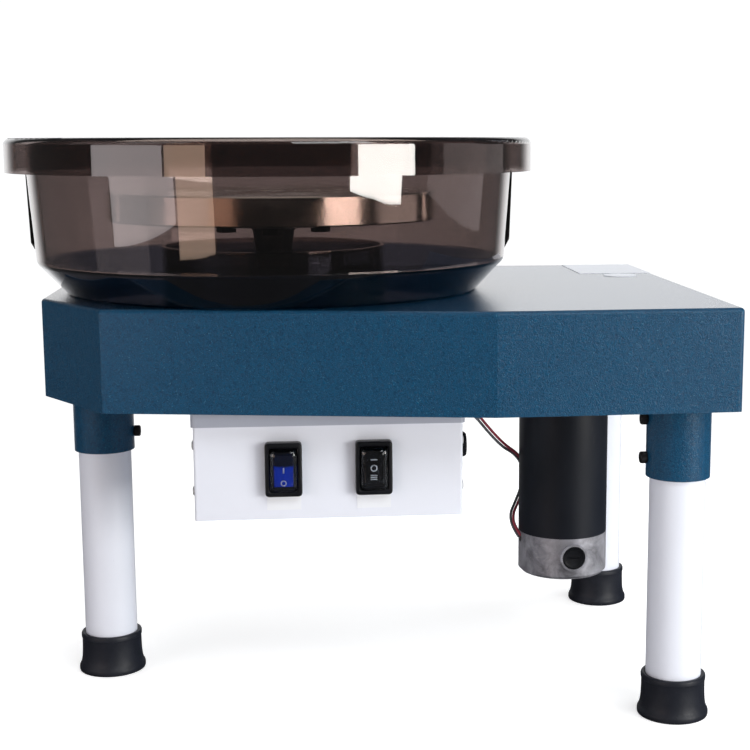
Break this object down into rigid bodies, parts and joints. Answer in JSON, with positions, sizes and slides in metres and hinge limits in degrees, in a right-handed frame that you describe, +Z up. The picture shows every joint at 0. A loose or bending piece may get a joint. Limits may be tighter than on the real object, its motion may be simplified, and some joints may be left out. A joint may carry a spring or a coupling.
{
  "type": "pottery wheel",
  "caption": "Small table-top electric pottery wheel: belt-driven turning head in a two-piece splash basin, on a folded steel body with pull-out legs.",
  "frame": {"origin": "under the middle of the whole object's bounding box, at floor level", "axes": "+Z up, +X along the body from the wheel end to the motor end, -Y the potter's side with the switches"},
  "size_m": [0.516, 0.3956, 0.416],
  "materials": {
    "body_paint": "hammered teal powder coat",
    "white_paint": "white powder coat",
    "foot_rubber": "satin black moulded rubber",
    "basin_plastic": "clear smoky brown moulded plastic",
    "seal_rubber": "black sealing strip",
    "wheel_aluminium": "turned aluminium",
    "hub_steel": "machined dark steel",
    "black_screws": "black oxide",
    "zinc_screws": "bright zinc plated",
    "bearing_steel": "ground bearing steel",
    "cast_iron": "machined casting",
    "belt_rubber": "ribbed black belt",
    "pulley_aluminium": "turned aluminium",
    "plate_steel": "bright rolled steel",
    "motor_black": "satin black enamel",
    "bell_aluminium": "bare cast aluminium",
    "switch_black": "black moulded plastic",
    "rocker_blue": "translucent blue plastic",
    "rocker_black": "gloss black plastic",
    "boot_clear": "clear soft boot",
    "label_paper": "blank off-white label",
    "board_green": "green circuit board",
    "board_parts": "dark components",
    "copper": "copper",
    "magnet_grey": "ceramic magnet",
    "carbon": "carbon brush",
    "wire_red": "red insulation",
    "wire_black": "grey-black insulation"
  },
  "bodies": {
    "base": {"body_shell": "body_paint", "leg_socket_left": "body_paint", "leg_socket_front": "body_paint", "leg_socket_rear": "body_paint", "leg_lock_screws": "black_screws", "bearing_housing": "cast_iron", "housing_bolts": "zinc_screws", "upper_bearing": "bearing_steel", "lower_bearing": "bearing_steel", "motor_plate": "plate_steel", "motor_plate_posts": "plate_steel", "motor_mount_screws": "zinc_screws", "motor_can": "motor_black", "motor_front_cap": "bell_aluminium", "motor_end_bell": "bell_aluminium", "brush_caps": "switch_black", "motor_brushes": "carbon", "motor_bearings": "bearing_steel", "motor_magnets": "magnet_grey", "drive_belt": "belt_rubber", "control_box_case": "white_paint", "control_box_cover": "white_paint", "control_box_screws": "black_screws", "box_hangers": "plate_steel", "controller_board": "board_green", "board_components": "board_parts", "power_switch_housing": "switch_black", "power_boot": "boot_clear", "direction_switch_housing": "switch_black", "direction_boot": "boot_clear", "switch_labels": "label_paper", "pedal_socket": "switch_black", "cable_gland": "switch_black", "mains_inlet": "switch_black", "earth_terminal": "zinc_screws", "top_stickers": "label_paper", "motor_wire_red": "wire_red", "motor_wire_black": "wire_black"},
    "wheel": {"wheel_head": "wheel_aluminium", "wheel_hub": "hub_steel", "hub_bolts": "black_screws", "wheel_spindle": "hub_steel", "driven_pulley": "pulley_aluminium", "spindle_nut": "zinc_screws"},
    "rotor": {"motor_shaft": "hub_steel", "motor_armature": "copper", "motor_commutator": "copper", "motor_pulley": "pulley_aluminium"},
    "power_rocker": {"power_rocker": "rocker_blue"},
    "direction_rocker": {"direction_rocker": "rocker_black"},
    "basin_front": {"basin_front_half": "basin_plastic"},
    "basin_rear": {"basin_rear_half": "basin_plastic", "basin_seals": "seal_rubber"},
    "leg_left": {"leg_tube_left": "white_paint", "leg_foot_left": "foot_rubber"},
    "leg_front": {"leg_tube_front": "white_paint", "leg_foot_front": "foot_rubber"},
    "leg_rear": {"leg_tube_rear": "white_paint", "leg_foot_rear": "foot_rubber"}
  },
  "joints": [
    {"name": "wheel_spin", "type": "hinge", "parent": "base", "child": "wheel", "pos_m": [-0.061, 0, 0.3], "axis": [0, 0, 1], "continuous": true},
    {"name": "rotor_spin", "type": "hinge", "parent": "base", "child": "rotor", "pos_m": [0.1665, 0, 0.16], "axis": [0, 0, 1], "continuous": true},
    {"name": "power_rocker_tilt", "type": "hinge", "parent": "base", "child": "power_rocker", "pos_m": [-0.0554, -0.122, 0.1863], "axis": [1, 0, 0], "range_deg": [-14, 0]},
    {"name": "direction_rocker_tilt", "type": "hinge", "parent": "base", "child": "direction_rocker", "pos_m": [0.008, -0.122, 0.1863], "axis": [1, 0, 0], "range_deg": [-9, 9]},
    {"name": "basin_front_slide", "type": "slide", "parent": "base", "child": "basin_front", "axis": [0, -1, 0], "range_m": [0, 0.22]},
    {"name": "basin_rear_slide", "type": "slide", "parent": "base", "child": "basin_rear", "axis": [0, 1, 0], "range_m": [0, 0.22]},
    {"name": "leg_left_slide", "type": "slide", "parent": "base", "child": "leg_left", "axis": [0, 0, 1], "range_m": [-0.06, 0]},
    {"name": "leg_front_slide", "type": "slide", "parent": "base", "child": "leg_front", "axis": [0, 0, 1], "range_m": [-0.06, 0]},
    {"name": "leg_rear_slide", "type": "slide", "parent": "base", "child": "leg_rear", "axis": [0, 0, 1], "range_m": [-0.06, 0]}
  ],
  "couplings": [
    {"joint": "rotor_spin", "follows": "wheel_spin", "ratio": 5}
  ]
}
